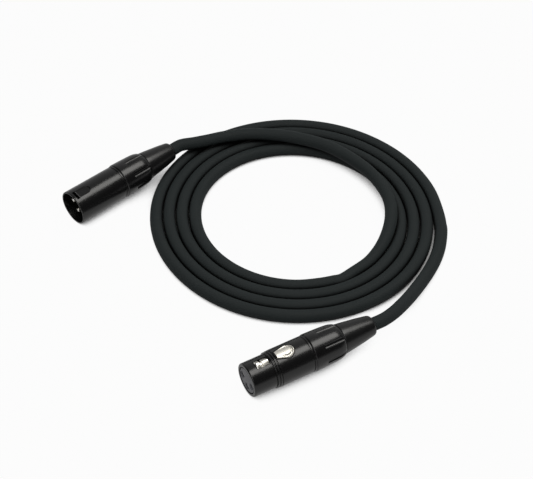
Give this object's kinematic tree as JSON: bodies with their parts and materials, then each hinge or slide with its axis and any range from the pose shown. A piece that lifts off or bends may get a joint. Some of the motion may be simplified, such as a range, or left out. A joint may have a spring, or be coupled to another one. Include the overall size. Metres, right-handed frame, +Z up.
{
  "type": "xlr cable coil",
  "caption": "Microphone cable wound into a flat coil, with a male three-pin plug on one end and a female plug with push latch on the other.",
  "frame": {"origin": "on the floor, under the middle of the box round both plugs", "axes": "+Z up from the floor; +Y to the back, the plugs' longest extent; +X to the right; the coil is at the back right, the male plug at the left, the female plug in front"},
  "size_m": [0.1903, 0.1908, 0.0185],
  "materials": {
    "shell": "satin",
    "black_insert": "satin",
    "grey_insert": "satin",
    "chuck": "matte",
    "boot": "satin",
    "jacket": "matte",
    "contact": "polished",
    "latch": "satin",
    "spring_steel": "satin",
    "shield_wire": "bare copper",
    "red_wire": "satin",
    "white_wire": "satin"
  },
  "bodies": {
    "plugs and cable": {"male_shell": "shell", "male_insert": "black_insert", "male_pin_1": "contact", "male_pin_2": "contact", "male_pin_3": "contact", "male_chuck": "chuck", "male_cable_end": "jacket", "male_wire_1": "shield_wire", "male_wire_2": "red_wire", "male_wire_3": "white_wire", "female_shell": "shell", "female_insert": "grey_insert", "female_socket_1": "contact", "female_socket_2": "contact", "female_socket_3": "contact", "latch_pin": "latch", "latch_spring": "spring_steel", "female_chuck": "chuck", "female_cable_end": "jacket", "female_wire_1": "shield_wire", "female_wire_2": "red_wire", "female_wire_3": "white_wire", "cable_coil": "jacket", "male_lead": "jacket", "female_lead": "jacket"},
    "latch": {"female_latch": "latch"},
    "male boot": {"male_boot": "boot"},
    "male bushing": {"male_bushing": "shell"},
    "female boot": {"female_boot": "boot"},
    "female bushing": {"female_bushing": "shell"}
  },
  "joints": [
    {"name": "latch_press", "type": "hinge", "parent": "plugs and cable", "child": "latch", "pos_m": [0.03804, -0.06245, 0.01473], "axis": [0.4956, -0.8679, -0.0349], "range_deg": [0, 4], "stiffness_Nm_per_rad": 0.02, "springref_deg": -2.86, "deforming": ["latch_spring"]},
    {"name": "male_boot_slide", "type": "slide", "parent": "plugs and cable", "child": "male boot", "axis": [0.7464, 0.665, 0.0262], "range_m": [0, 0.0055]},
    {"name": "male_bushing_spin", "type": "hinge", "parent": "male boot", "child": "male bushing", "pos_m": [-0.04282, 0.06062, 0.00974], "axis": [0.7464, 0.665, 0.0262], "range_deg": [0, 1980]},
    {"name": "female_boot_slide", "type": "slide", "parent": "plugs and cable", "child": "female boot", "axis": [0.8686, 0.4954, 0.0132], "range_m": [0, 0.0055]},
    {"name": "female_bushing_spin", "type": "hinge", "parent": "female boot", "child": "female bushing", "pos_m": [0.05104, -0.0548, 0.00903], "axis": [0.8686, 0.4954, 0.0132], "range_deg": [0, 1980]}
  ],
  "couplings": [
    {"joint": "male_boot_slide", "follows": "male_bushing_spin", "m_per_rad": 0.00015915},
    {"joint": "female_boot_slide", "follows": "female_bushing_spin", "m_per_rad": 0.00015915}
  ]
}
